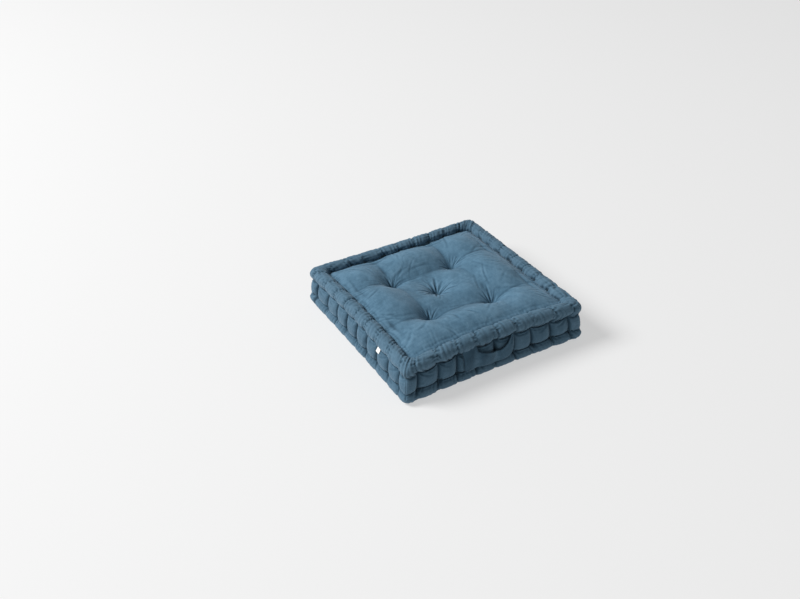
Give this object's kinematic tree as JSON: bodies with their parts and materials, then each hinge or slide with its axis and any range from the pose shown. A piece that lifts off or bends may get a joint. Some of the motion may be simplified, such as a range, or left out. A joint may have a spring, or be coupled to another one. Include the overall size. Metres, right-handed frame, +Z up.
{
  "type": "floor cushion",
  "caption": "Square tufted floor cushion with stitched edge rolls top and base, a cloth carry strap on one side and a small blank label tab.",
  "frame": {"origin": "middle of the base, on the floor", "axes": "+Z up; the carry strap hangs on the -Y (front) side and the label tab on the -X (left) side"},
  "size_m": [0.45, 0.45, 0.1],
  "materials": {
    "cover_cloth": "matte",
    "strap_cloth": "matte",
    "filling": "matte",
    "tufting_twine": "matte",
    "sewing_thread": "matte",
    "label_cloth": "satin"
  },
  "bodies": {
    "cushion": {"core_filling": "filling", "top_panel": "cover_cloth", "base_panel": "cover_cloth", "side_band_front": "cover_cloth", "side_band_right": "cover_cloth", "side_band_back": "cover_cloth", "side_band_left": "cover_cloth", "top_roll_front": "cover_cloth", "top_roll_right": "cover_cloth", "top_roll_back": "cover_cloth", "top_roll_left": "cover_cloth", "base_roll_front": "cover_cloth", "base_roll_right": "cover_cloth", "base_roll_back": "cover_cloth", "base_roll_left": "cover_cloth", "top_roll_filling_front": "filling", "top_roll_filling_right": "filling", "top_roll_filling_back": "filling", "top_roll_filling_left": "filling", "base_roll_filling_front": "filling", "base_roll_filling_right": "filling", "base_roll_filling_back": "filling", "base_roll_filling_left": "filling", "tuft_tie_centre": "tufting_twine", "tuft_tie_front_left": "tufting_twine", "tuft_tie_front_right": "tufting_twine", "tuft_tie_back_right": "tufting_twine", "tuft_tie_back_left": "tufting_twine", "top_edge_stitches": "sewing_thread", "base_edge_stitches": "sewing_thread", "closing_stitches": "sewing_thread", "handle_bar_tacks": "sewing_thread"},
    "handle": {"handle_strap": "strap_cloth"},
    "label": {"label_tab": "label_cloth"}
  },
  "joints": [
    {"name": "handle_swing", "type": "hinge", "parent": "cushion", "child": "handle", "pos_m": [-0.016, -0.2162, 0.0675], "axis": [-1, 0, 0], "range_deg": [0, 80]},
    {"name": "label_swing", "type": "hinge", "parent": "cushion", "child": "label", "pos_m": [-0.2129, -0.103, 0.0689], "axis": [0, 1, 0], "range_deg": [0, 45]}
  ]
}
